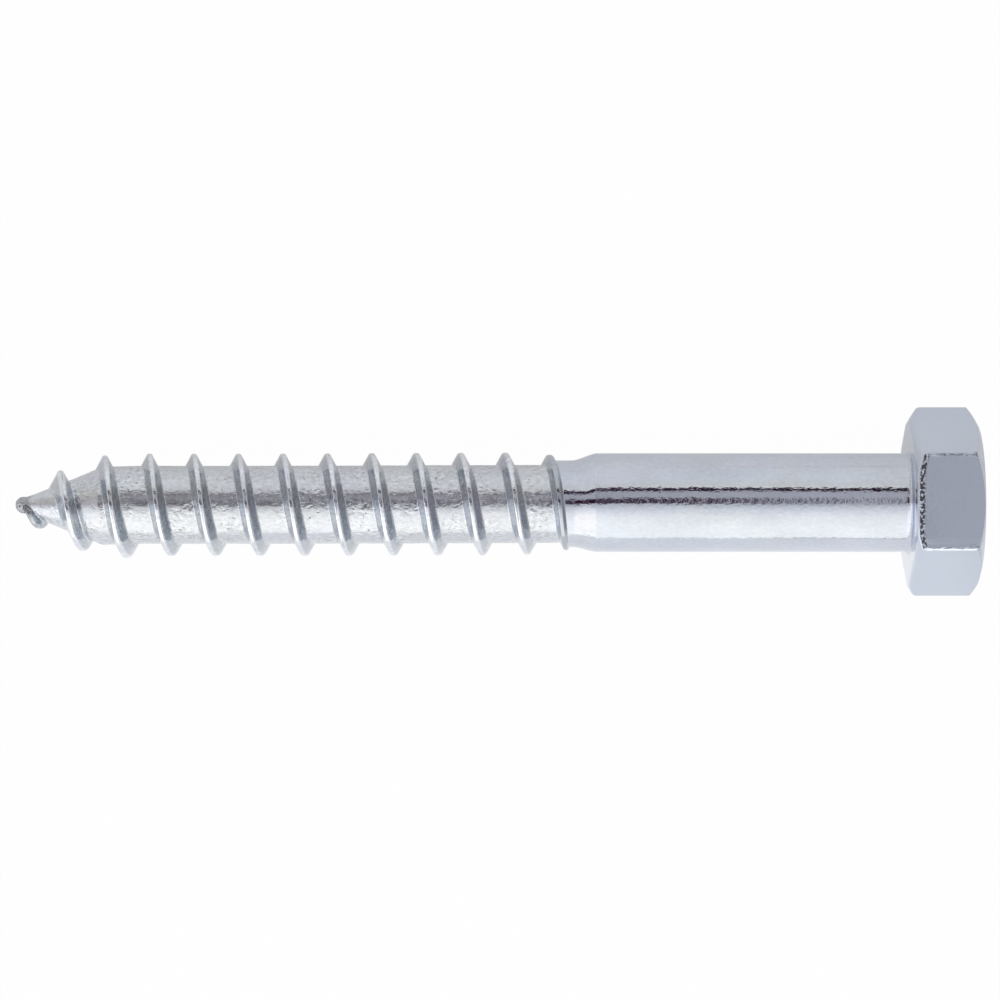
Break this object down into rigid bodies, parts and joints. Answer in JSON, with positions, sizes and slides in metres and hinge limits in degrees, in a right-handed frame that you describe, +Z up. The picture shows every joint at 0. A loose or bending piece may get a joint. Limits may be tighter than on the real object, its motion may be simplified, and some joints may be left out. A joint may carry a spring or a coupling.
{
  "type": "lag screw",
  "caption": "Hexagon-head lag screw for wood: gimlet point, coarse rolled thread, plain shank and a head chamfered on both faces.",
  "frame": {"origin": "centre of the bounding box in plan, on the floor that the screw lies on", "axes": "+Z up; +X in plan from the tip to the head; the screw lies with a flat of its head up, its axis 2.3 degrees nose-down"},
  "size_m": [0.0974, 0.0192, 0.0169],
  "materials": {
    "zinc_plate": "bright zinc-plated steel"
  },
  "bodies": {
    "root": {"lag_screw": "zinc_plate"}
  },
  "joints": []
}
